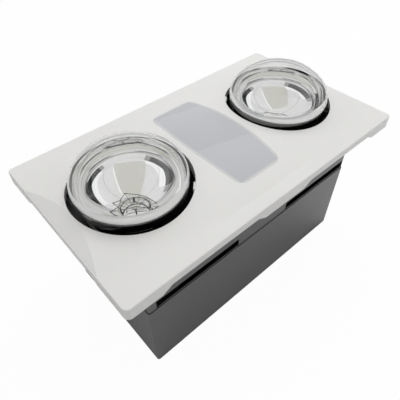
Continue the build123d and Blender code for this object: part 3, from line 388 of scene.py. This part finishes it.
# The bulb's outline from the crown's pole down to the foot of the neck
def bulbOutline(inset):
    radius, rim = lamp["radius"], lamp["rimHigh"]
    crown, meet = rimArcs(lamp["rise"], lamp["frontRound"])
    base, turn = rimArcs(lamp["depth"], lamp["bowlRound"])
    points = leanArc(0, rim + lamp["rise"] - crown, crown - inset, 0, meet)
    points += leanArc(radius - lamp["frontRound"], rim, lamp["frontRound"] - inset, meet, pi / 2)[1:]
    points += leanArc(radius - lamp["bowlRound"], rim, lamp["bowlRound"] - inset, pi / 2, pi - turn)[1:]
    mouth = asin((lamp["mouth"] - inset) / (base - inset))
    bowlCentre = rim - lamp["depth"] + base
    lip = Vector((lamp["mouth"] - inset, bowlCentre - (base - inset) * cos(mouth)))
    foot = Vector((lamp["neck"] - inset, lamp["taperLow"]))
    down = (foot - lip).normalized()
    reach, lipRound = cornerRound(lip, (cos(mouth), sin(mouth)), down, lamp["mouthBlend"] + inset)
    points += leanArc(0, bowlCentre, base - inset, pi - turn, pi - mouth - reach / (base - inset))[1:-1]
    points += lipRound
    points += cornerRound(foot, -down, (0, -1), lamp["neckBlend"] + inset)[1]
    points.append((lamp["neck"] - inset, lamp["bottom"] + inset))
    return points


# A wall turned about a lamp's axis from its outline
def turnedPiece(name, outline, centreX):
    startR, startZ = outline[0]
    clearSelection()
    bpy.ops.mesh.primitive_plane_add(size=lamp["seed"], location=(centreX + startR, 0, startZ))
    piece = bpy.context.object
    piece.name = name
    bpy.ops.object.transform_apply(location=True, rotation=True, scale=True)
    editMode(True)
    bpy.ops.mesh.select_all(action="SELECT")
    bpy.ops.mesh.merge(type="CENTER")
    for near, far in zip(outline, outline[1:]):
        step = (far[0] - near[0], 0, far[1] - near[1])
        bpy.ops.mesh.extrude_region_move(TRANSFORM_OT_translate={"value": step})
    bpy.ops.mesh.select_all(action="SELECT")
    bpy.ops.mesh.spin(steps=lamp["turns"], angle=2 * pi, center=(centreX, 0, 0), axis=(0, 0, 1))
    bpy.ops.mesh.select_all(action="SELECT")
    bpy.ops.mesh.remove_doubles(threshold=lamp["doubles"])
    bpy.ops.mesh.normals_make_consistent(inside=False)
    editMode(False)
    bpy.ops.object.shade_smooth_by_angle(angle=radians(lamp["smoothAngle"]))
    return piece


glassLook = {
    "ripple": 26,
    "rippleDetail": 1,
    "dark": (0.965, 0.972, 0.975),
    "light": (0.985, 0.985, 0.985),
    "smear": 0.012,
    "wave": 0.04,
    "waveDepth": 0.002,
    "ior": 1.46,
}
silverLook = {
    "cloud": 30,
    "cloudDetail": 2,
    "dark": (0.90, 0.90, 0.895),
    "light": (0.94, 0.94, 0.935),
    "haze": (0.02, 0.05),
}


def glassFinish(name):
    finish, tree, shader, where = newFinish(name)
    shader.inputs["Transmission Weight"].default_value = 1
    shader.inputs["IOR"].default_value = glassLook["ior"]
    ripple = noise(tree, glassLook["ripple"], glassLook["rippleDetail"], where)
    colour = tint(tree, ripple, 0, 1, glassLook["dark"], glassLook["light"])
    tree.links.new(colour, shader.inputs["Base Color"])
    tree.links.new(spread(tree, ripple, 0, glassLook["smear"]), shader.inputs["Roughness"])
    tree.links.new(bump(tree, ripple, glassLook["wave"], glassLook["waveDepth"]), shader.inputs["Normal"])
    return finish


def silverFinish(name):
    finish, tree, shader, where = newFinish(name)
    shader.inputs["Metallic"].default_value = 1
    cloud = noise(tree, silverLook["cloud"], silverLook["cloudDetail"], where)
    colour = tint(tree, cloud, 0, 1, silverLook["dark"], silverLook["light"])
    tree.links.new(colour, shader.inputs["Base Color"])
    tree.links.new(spread(tree, cloud, *silverLook["haze"]), shader.inputs["Roughness"])
    return finish


# Glass stem with the bright disc that keeps the heat out of the neck
def addStem(side, centreX):
    top, low = lamp["stemTop"], lamp["stemTop"] - lamp["deflectorSheet"]
    outline = [
        (0, top),
        (lamp["deflector"], top),
        (lamp["deflector"], low),
        (lamp["stem"], low),
        (lamp["stem"], lamp["bottom"]),
        (0, lamp["bottom"]),
    ]
    stem = turnedPiece("bulb_stem_" + side, outline, centreX)
    wear(stem, bulbSilver)
    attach(stem, "lamp_" + side)
    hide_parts("lamp_stem_" + side)


# Web of fine wires over the bowl's mouth: posts that fan out from a short hub, and the coil strung between
# their tips. It is longer along one way than across it, and every third post stands further in.
web = {
    "posts": 9,
    "along": (0.7273, -0.6863, 0),
    "long": 0.0245,
    "short": 0.0125,
    "inner": 0.72,
    "innerEvery": 3,
    "tip": -0.0085,
    "step": 0.0035,  # every other tip is this much higher
    "hub": -0.021,
    "hubWire": 0.0009,
    "post": 0.0002,
    "coil": 0.00034,
    "sides": 8,
}


# A straight wire that runs a little past both of its ends, so that wires which meet there join up
def rod(start, stop, thick):
    run = Vector(stop) - Vector(start)
    middle = (Vector(start) + Vector(stop)) / 2
    turn = run.to_track_quat("Z", "Y").to_euler()
    clearSelection()
    bpy.ops.mesh.primitive_cylinder_add(
        vertices=web["sides"], radius=thick, depth=run.length + thick, location=middle, rotation=turn
    )
    bpy.ops.object.transform_apply(location=True, rotation=True, scale=True)
    return bpy.context.object


# One piece from several wires
def joined(name, rods):
    clearSelection()
    for item in rods:
        item.select_set(True)
    bpy.context.view_layer.objects.active = rods[0]
    bpy.ops.object.join()
    rods[0].name = name
    bpy.ops.object.transform_apply(location=True, rotation=True, scale=True)
    return rods[0]


def addWeb(side, centreX):
    centre = Vector((centreX, 0, 0))
    along = Vector(web["along"])
    across = Vector((-along.y, along.x, 0))
    tips = []
    for i in range(web["posts"]):
        turn = 2 * pi * i / web["posts"]
        reach = web["inner"] if i % web["innerEvery"] == 1 else 1
        flat = along * (web["long"] * reach * cos(turn)) + across * (web["short"] * reach * sin(turn))
        tips.append(centre + flat + Vector((0, 0, web["tip"] + web["step"] * (i % 2))))
    hub = centre + Vector((0, 0, web["hub"]))
    foot = centre + Vector((0, 0, lamp["stemTop"]))
    posts = [rod(hub, tip, web["post"]) for tip in tips]
    posts.append(rod(foot, hub, web["hubWire"]))
    wires = joined("bulb_wires_" + side, posts)
    spans = [rod(near, far, web["coil"]) for near, far in zip(tips, tips[1:])]
    coil = joined("bulb_coil_" + side, spans)
    for piece, node in ((wires, "lamp_supports_"), (coil, "lamp_filament_")):
        wear(piece, made["drawnWire"])
        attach(piece, "lamp_" + side)
        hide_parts(node + side)


def addLamp(side, centreX):
    outer, inner = bulbOutline(0), bulbOutline(lamp["wall"])
    shell = turnedPiece("bulb_glass_" + side, outer + inner[::-1], centreX)
    wear(shell, bulbGlass)
    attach(shell, "lamp_" + side)
    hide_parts("lamp_glass_" + side)
    lining = lamp["wall"] + lamp["mirrorGap"]
    inBand = lambda point: lamp["mirrorLow"] <= point[1] <= lamp["mirrorTop"]
    face = [point for point in bulbOutline(lining) if inBand(point)]
    back = [point for point in bulbOutline(lining + lamp["mirrorWall"]) if inBand(point)]
    silver = turnedPiece("bulb_silver_" + side, face + back[::-1] + face[:1], centreX)
    wear(silver, bulbSilver)
    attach(silver, "lamp_" + side)
    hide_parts("lamp_mirror_" + side)
    addStem(side, centreX)
    addWeb(side, centreX)


bulbGlass = glassFinish("clearBulbGlass")
bulbSilver = silverFinish("bulbSilvering")
addLamp("left", -lamp["spacing"] / 2)
addLamp("right", lamp["spacing"] / 2)
print("lamps turned")

# The finish of every piece that comes from the frame, by its slot in the record
finishOfSlot = {
    "white_plastic": made["satinWhiteMoulding"],
    "frosted_lens": made["frostedLens"],
    "grey_steel": made["satinGreySteel"],
    "zinc_steel": made["zincSteel"],
    "black_shield": made["blackShieldPaintAndShade"],
    "bulb_glass": bulbGlass,
    "bulb_silver": bulbSilver,
    "wire_steel": made["drawnWire"],
    "cap_metal": made["pressedBrass"],
    "porcelain": made["glazedPorcelain"],
    "fan_plastic": made["fanMoulding"],
    "motor_metal": made["motorPaint"],
    "mount_rubber": made["mountRubber"],
    "duct_plastic": made["ductMoulding"],
    "flap_sheet": made["millAluminium"],
    "board_laminate": made["solderMask"],
    "chip_plastic": made["phosphorYellow"],
    "case_plastic": made["caseMoulding"],
    "cutout_plastic": made["cutoutMoulding"],
}
for row in frame["record"]["subparts"]:
    for place in nodes[row["node"]].material_slots:
        place.material = finishOfSlot[row["material_slot"]]
print("nodes dressed")

# Shells that get a merged copy with even shading. Two faces are shaded as one up to the fold angle, and a rim
# above zero is how far the edges round the open rim are rounded over.
smoothShells = {
    "fascia": {"body": "fascia", "slot": "white_plastic", "rim": 0, "fold": 12},
    "light_lens": {"body": "fascia", "slot": "frosted_lens", "rim": 0, "fold": 30},
    "heat_shield": {"body": "housing", "slot": "black_shield", "rim": 0, "fold": 30},
    "housing_box": {"body": "housing", "slot": "grey_steel", "rim": 0.0003, "fold": 30},
    "mounting_frame": {"body": "housing", "slot": "grey_steel", "rim": 0, "fold": 30},
    "duct_spigot": {"body": "housing", "slot": "duct_plastic", "rim": 0, "fold": 30},
    "fan_scroll": {"body": "housing", "slot": "fan_plastic", "rim": 0, "fold": 30},
    "impeller": {"body": "fan_wheel", "slot": "fan_plastic", "rim": 0, "fold": 30},
}
smoothing = {"doubles": 0.000004, "turn": 0.5, "segments": 3}

# Long low slope that the bulge of the fascia runs out in at both ends, through a line at its edge
slope = {"edge": 0.2016, "high": 0.0157, "angle": radians(21.2)}


def cutEnds(piece):
    editMode(True)
    for side in (-1, 1):
        bpy.ops.mesh.select_all(action="SELECT")
        bpy.ops.mesh.bisect(
            plane_co=(side * slope["edge"], 0, slope["high"]),
            plane_no=(side * sin(slope["angle"]), 0, cos(slope["angle"])),
            use_fill=True,
            clear_outer=True,
        )
    editMode(False)


# Shade each corner by the faces round it that lie within the fold angle of its own, each by its area
def evenShading(piece, fold):
    mesh = piece.data
    around = [[] for point in mesh.vertices]
    for face in mesh.polygons:
        for point in face.vertices:
            around[point].append((face.normal.copy(), face.area))
    normals = [(0, 0, 0)] * len(mesh.loops)
    for face in mesh.polygons:
        own = face.normal.copy()
        for corner, point in zip(face.loop_indices, face.vertices):
            near = [normal * area for normal, area in around[point] if normal.dot(own) > cos(fold)]
            normals[corner] = sum(near, Vector()).normalized() if near else own
    mesh.normals_split_custom_set(normals)


# Round over the edges of an open shell's rim, both inside and out. Edges inside its flat top are left alone.
def rollRim(piece, width):
    mesh = piece.data
    top = max(point.co.z for point in mesh.vertices)
    high = {point.index for point in mesh.vertices if top - point.co.z < smoothing["doubles"]}
    folded = {}
    for face in mesh.polygons:
        for key in face.edge_keys:
            folded.setdefault(key, []).append(face.normal.z)
    editMode(True)
    bpy.ops.mesh.select_all(action="DESELECT")
    bpy.ops.mesh.select_mode(type="EDGE")
    editMode(False)
    for edge in mesh.edges:
        leans = folded[edge.key]
        edge.select = high.issuperset(edge.vertices) and max(leans) - min(leans) > smoothing["turn"]
    editMode(True)
    bpy.ops.mesh.bevel(offset=width, segments=smoothing["segments"])
    bpy.ops.mesh.select_mode(type="VERT")
    editMode(False)


# A merged copy of one of the frame's pieces, which takes that piece's place
def smoothCopy(node, body, rim, fold):
    source = nodes[node]
    piece = source.copy()
    piece.data = source.data.copy()
    piece.name = node + "_finish"
    scene.collection.objects.link(piece)
    piece.parent = None
    pick(piece)
    editMode(True)
    bpy.ops.mesh.select_all(action="SELECT")
    bpy.ops.mesh.remove_doubles(threshold=smoothing["doubles"])
    editMode(False)
    if rim:
        rollRim(piece, rim)
    if node == "fascia":
        cutEnds(piece)
    bpy.ops.object.shade_smooth()
    evenShading(piece, fold)
    for key in ("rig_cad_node", "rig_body"):  # marks of the frame's own piece, which the copy isn't
        if key in piece:
            del piece[key]
    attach(piece, body)
    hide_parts(node)
    return piece


for node, shell in smoothShells.items():
    piece = smoothCopy(node, shell["body"], shell["rim"], radians(shell["fold"]))
    wear(piece, finishOfSlot[shell["slot"]])
print("shells smoothed")

# Floor under the unit. To the camera it is white paper, and it still takes the unit's shadow.
paper = {"low": -0.1882, "size": 60, "white": (0.83, 0.83, 0.83), "rough": 0.9, "seen": 0.97}


# White for the camera, and plain matt paper for everything else
def paperFinish():
    finish, tree, shader, where = newFinish("whitePaper")
    shader.inputs["Base Color"].default_value = (*paper["white"], 1)
    shader.inputs["Roughness"].default_value = paper["rough"]
    lift = tree.nodes.new("ShaderNodeEmission")
    path = tree.nodes.new("ShaderNodeLightPath")
    seen = tree.nodes.new("ShaderNodeMath")
    seen.operation = "MULTIPLY"
    seen.inputs[1].default_value = paper["seen"]
    tree.links.new(path.outputs["Is Camera Ray"], seen.inputs[0])
    blend = tree.nodes.new("ShaderNodeMixShader")
    tree.links.new(seen.outputs[0], blend.inputs[0])
    tree.links.new(shader.outputs[0], blend.inputs[1])
    tree.links.new(lift.outputs[0], blend.inputs[2])
    tree.links.new(blend.outputs[0], tree.nodes["Material Output"].inputs["Surface"])
    return finish


def addFloor():
    clearSelection()
    bpy.ops.mesh.primitive_plane_add(size=paper["size"], location=(0, 0, paper["low"]))
    floor = bpy.context.object
    floor.name = "floor"
    wear(floor, paperFinish())


addFloor()

# Room round the unit: what lights it, and the paler walls that the camera, the metal and the glass see
room = {"light": (0.94, 0.94, 0.935), "strength": 0.55, "seen": (1, 1, 1), "mirrored": (0.78, 0.78, 0.775)}


def addRoom():
    world = bpy.data.worlds.new("studio")
    world.use_nodes = True
    scene.world = world
    tree = world.node_tree
    path = tree.nodes.new("ShaderNodeLightPath")

    def layer(colour, strength):
        back = tree.nodes.new("ShaderNodeBackground")
        back.inputs["Color"].default_value = (*colour, 1)
        back.inputs["Strength"].default_value = strength
        return back.outputs[0]

    def choose(switch, off, on):
        mix = tree.nodes.new("ShaderNodeMixShader")
        tree.links.new(switch, mix.inputs[0])
        tree.links.new(off, mix.inputs[1])
        tree.links.new(on, mix.inputs[2])
        return mix.outputs[0]

    either = tree.nodes.new("ShaderNodeMath")
    either.operation = "MAXIMUM"
    tree.links.new(path.outputs["Is Glossy Ray"], either.inputs[0])
    tree.links.new(path.outputs["Is Transmission Ray"], either.inputs[1])
    shade = choose(either.outputs[0], layer(room["light"], room["strength"]), layer(room["mirrored"], 1))
    shade = choose(path.outputs["Is Camera Ray"], shade, layer(room["seen"], 1))
    tree.links.new(shade, tree.nodes["World Output"].inputs["Surface"])


addRoom()

# Cards overhead, which only mirrors and glass see. They lie on level planes, and their sizes and places are
# how far they reach sideways and back from the camera's heading for each metre up. The bowls show them on the
# other side. A card with a higher layer number hangs lower and covers the ones above it.
cards = {
    "high": 4.0,
    "heading": (0.6863, 0.7273),
    "layer": 0.01,
    "arcSteps": 40,
    "quads": {
        "greyPanel": {
            "colour": (0.64, 0.635, 0.585),
            "corners": ((-0.30, -0.2), (-0.575, 1.1), (0.87, 0.95), (0.15, -0.29)),
            "layer": 1,
        },
        "whiteStrip": {
            "colour": (1, 1, 1),
            "corners": ((0.15, -0.29), (0.60, 0.5), (0.66, 0.5), (0.19, -0.30)),
            "layer": 1,
        },
    },
    "arcs": {
        "whiteRight": {"colour": (1, 1, 1), "reach": (1.1, 1.5), "turn": (-66, 12), "layer": 0},
        "darkRight": {"colour": (0.02, 0.02, 0.02), "reach": (1.5, 3.0), "turn": (-63, 16), "layer": 0},
        "whiteLeft": {"colour": (1, 1, 1), "reach": (0.95, 1.35), "turn": (112, 196), "layer": 0},
        "darkLeft": {"colour": (0.10, 0.10, 0.10), "reach": (1.35, 3.0), "turn": (125, 197), "layer": 0},
        "softRight": {"colour": (0.36, 0.36, 0.36), "reach": (1.5, 3.0), "turn": (-73, 25), "layer": -1},
        "softLeft": {"colour": (0.36, 0.36, 0.36), "reach": (1.35, 3.6), "turn": (114, 208), "layer": -1},
        "skirting": {"colour": (0.10, 0.10, 0.10), "reach": (5.0, 7.0), "turn": (0, 360), "layer": 0},
    },
    "ring": {"colour": (0.30, 0.30, 0.30), "lean": 18, "radius": 44, "width": 0.5, "layer": 2},
}


# Where a card's corner hangs, from its reach sideways and back for each metre up
def overhead(side, back, layer):
    ahead = Vector((*cards["heading"], 0))
    right = Vector((ahead.y, -ahead.x, 0))
    return (right * side - ahead * back + Vector((0, 0, 1))) * (cards["high"] - layer * cards["layer"])


# A glowing strip between two edges
def addCard(name, colour, edges, layer):
    near, far = edges
    count = len(near)
    corners = [overhead(*place, layer) for place in near + far]
    faces = [(i, i + 1, count + i + 1, count + i) for i in range(count - 1)]
    mesh = bpy.data.meshes.new(name)
    mesh.from_pydata(corners, [], faces)
    item = bpy.data.objects.new(name, mesh)
    scene.collection.objects.link(item)
    finish, tree, shader, where = newFinish(name + "Card")
    glow = tree.nodes.new("ShaderNodeEmission")
    glow.inputs["Color"].default_value = (*colour, 1)
    tree.links.new(glow.outputs[0], tree.nodes["Material Output"].inputs["Surface"])
    wear(item, finish)
    item.visible_camera = False
    item.visible_diffuse = False
    item.visible_shadow = False


# Points of an arc at one reach, from one turn to another, where 90 is straight back
def arcEdge(reach, turn):
    start, stop = (radians(end) for end in turn)
    leans = [start + (stop - start) * i / cards["arcSteps"] for i in range(cards["arcSteps"] + 1)]
    return [(reach * cos(lean), reach * sin(lean)) for lean in leans]


# A circle about a direction that leans back towards the camera, laid out on the level plane
def ringEdge(lean, radius):
    centre = Vector((0, sin(lean), cos(lean)))
    back = Vector((0, cos(lean), -sin(lean)))
    edge = []
    for i in range(2 * cards["arcSteps"] + 1):
        turn = pi * i / cards["arcSteps"]
        look = centre * cos(radius) + (Vector((1, 0, 0)) * cos(turn) + back * sin(turn)) * sin(radius)
        edge.append((look.x / look.z, look.y / look.z))
    return edge


def addCards():
    for name, quad in cards["quads"].items():
        first, second, third, fourth = quad["corners"]
        addCard(name, quad["colour"], ([first, second], [fourth, third]), quad["layer"])
    for name, arc in cards["arcs"].items():
        edges = [arcEdge(reach, arc["turn"]) for reach in arc["reach"]]
        addCard(name, arc["colour"], edges, arc["layer"])
    ring = cards["ring"]
    sizes = [radians(ring["radius"] + side * ring["width"] / 2) for side in (-1, 1)]
    edges = [ringEdge(radians(ring["lean"]), size) for size in sizes]
    addCard("ring", ring["colour"], edges, ring["layer"])


addCards()

# Lamps of the studio. The bulbs don't show them, because they would be hard white squares there.
softboxes = {
    "overheadBox": {"place": (0.55, 0.45, 1.45), "aim": (0, 0, 0), "size": (1.2, 1.0), "power": 13.8},
    "rightBox": {"place": (1.5, -0.7, 0.0), "aim": (0.1, -0.1, -0.1), "size": (0.7, 0.7), "power": 4},
}


def addSoftbox(name):
    box = softboxes[name]
    light = bpy.data.lights.new(name, "AREA")
    light.shape = "RECTANGLE"
    light.size, light.size_y = box["size"]
    light.energy = box["power"]
    item = bpy.data.objects.new(name, light)
    item.location = box["place"]
    item.rotation_euler = (Vector(box["aim"]) - Vector(box["place"])).to_track_quat("-Z", "Y").to_euler()
    item.visible_glossy = False
    item.visible_transmission = False
    scene.collection.objects.link(item)


for name in softboxes:
    addSoftbox(name)
print("stage lit")
